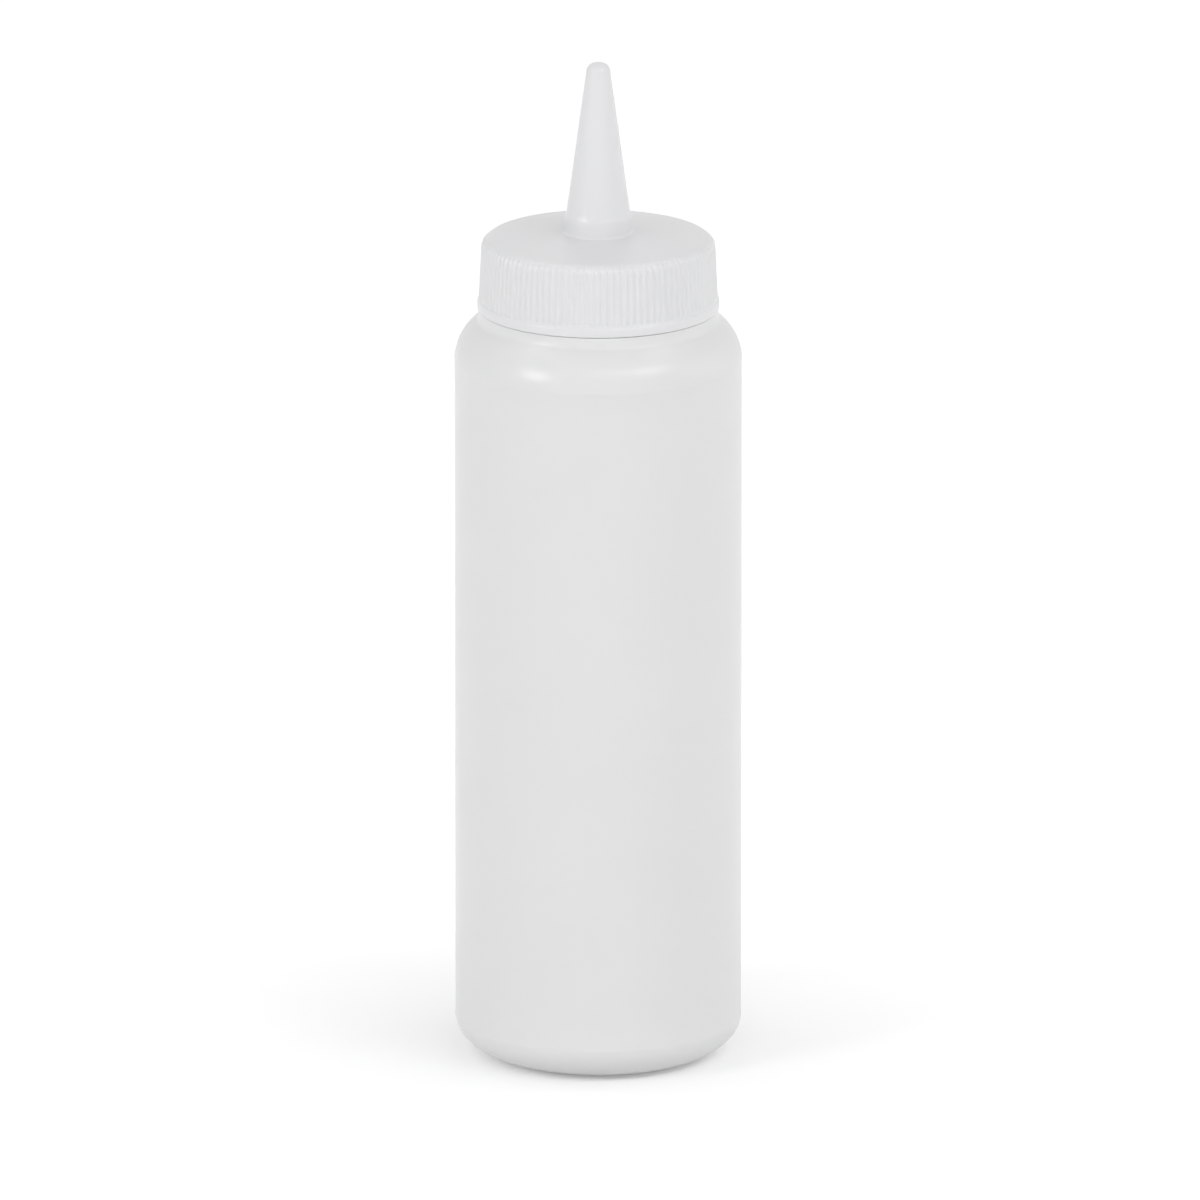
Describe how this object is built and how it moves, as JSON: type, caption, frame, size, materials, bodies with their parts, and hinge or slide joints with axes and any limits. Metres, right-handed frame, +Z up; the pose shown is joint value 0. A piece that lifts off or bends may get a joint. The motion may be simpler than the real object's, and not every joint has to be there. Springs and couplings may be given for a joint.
{
  "type": "condiment squeeze bottle",
  "caption": "Round squeeze bottle for sauces, with a rounded shoulder and base and a ribbed screw cap that carries a tapered pouring spout.",
  "frame": {"origin": "centre of the bottle's base, in the plane that it stands on", "axes": "+Z up along the common axis of bottle, cap and spout; the whole is round, so X and Y are free"},
  "size_m": [0.0508, 0.0508, 0.1805],
  "materials": {
    "bottle_plastic": "milky translucent low-density polyethylene, blow-moulded, satin",
    "cap_plastic": "milky translucent low-density polyethylene, injection-moulded, semi-gloss",
    "seal_foam": "white foamed polyethylene, matte"
  },
  "bodies": {
    "bottle": {"bottle": "bottle_plastic"},
    "seal": {"seal_ring": "seal_foam"},
    "cap": {"cap": "cap_plastic"}
  },
  "joints": [
    {"name": "cap_lift", "type": "slide", "parent": "bottle", "child": "seal", "axis": [0, 0, 1], "range_m": [0, 0.0043]},
    {"name": "cap_turn", "type": "hinge", "parent": "seal", "child": "cap", "pos_m": [0, 0, 0.136], "axis": [0, 0, 1], "range_deg": [0, 360]}
  ],
  "couplings": [
    {"joint": "cap_lift", "follows": "cap_turn", "m_per_rad": 0.0006737}
  ]
}
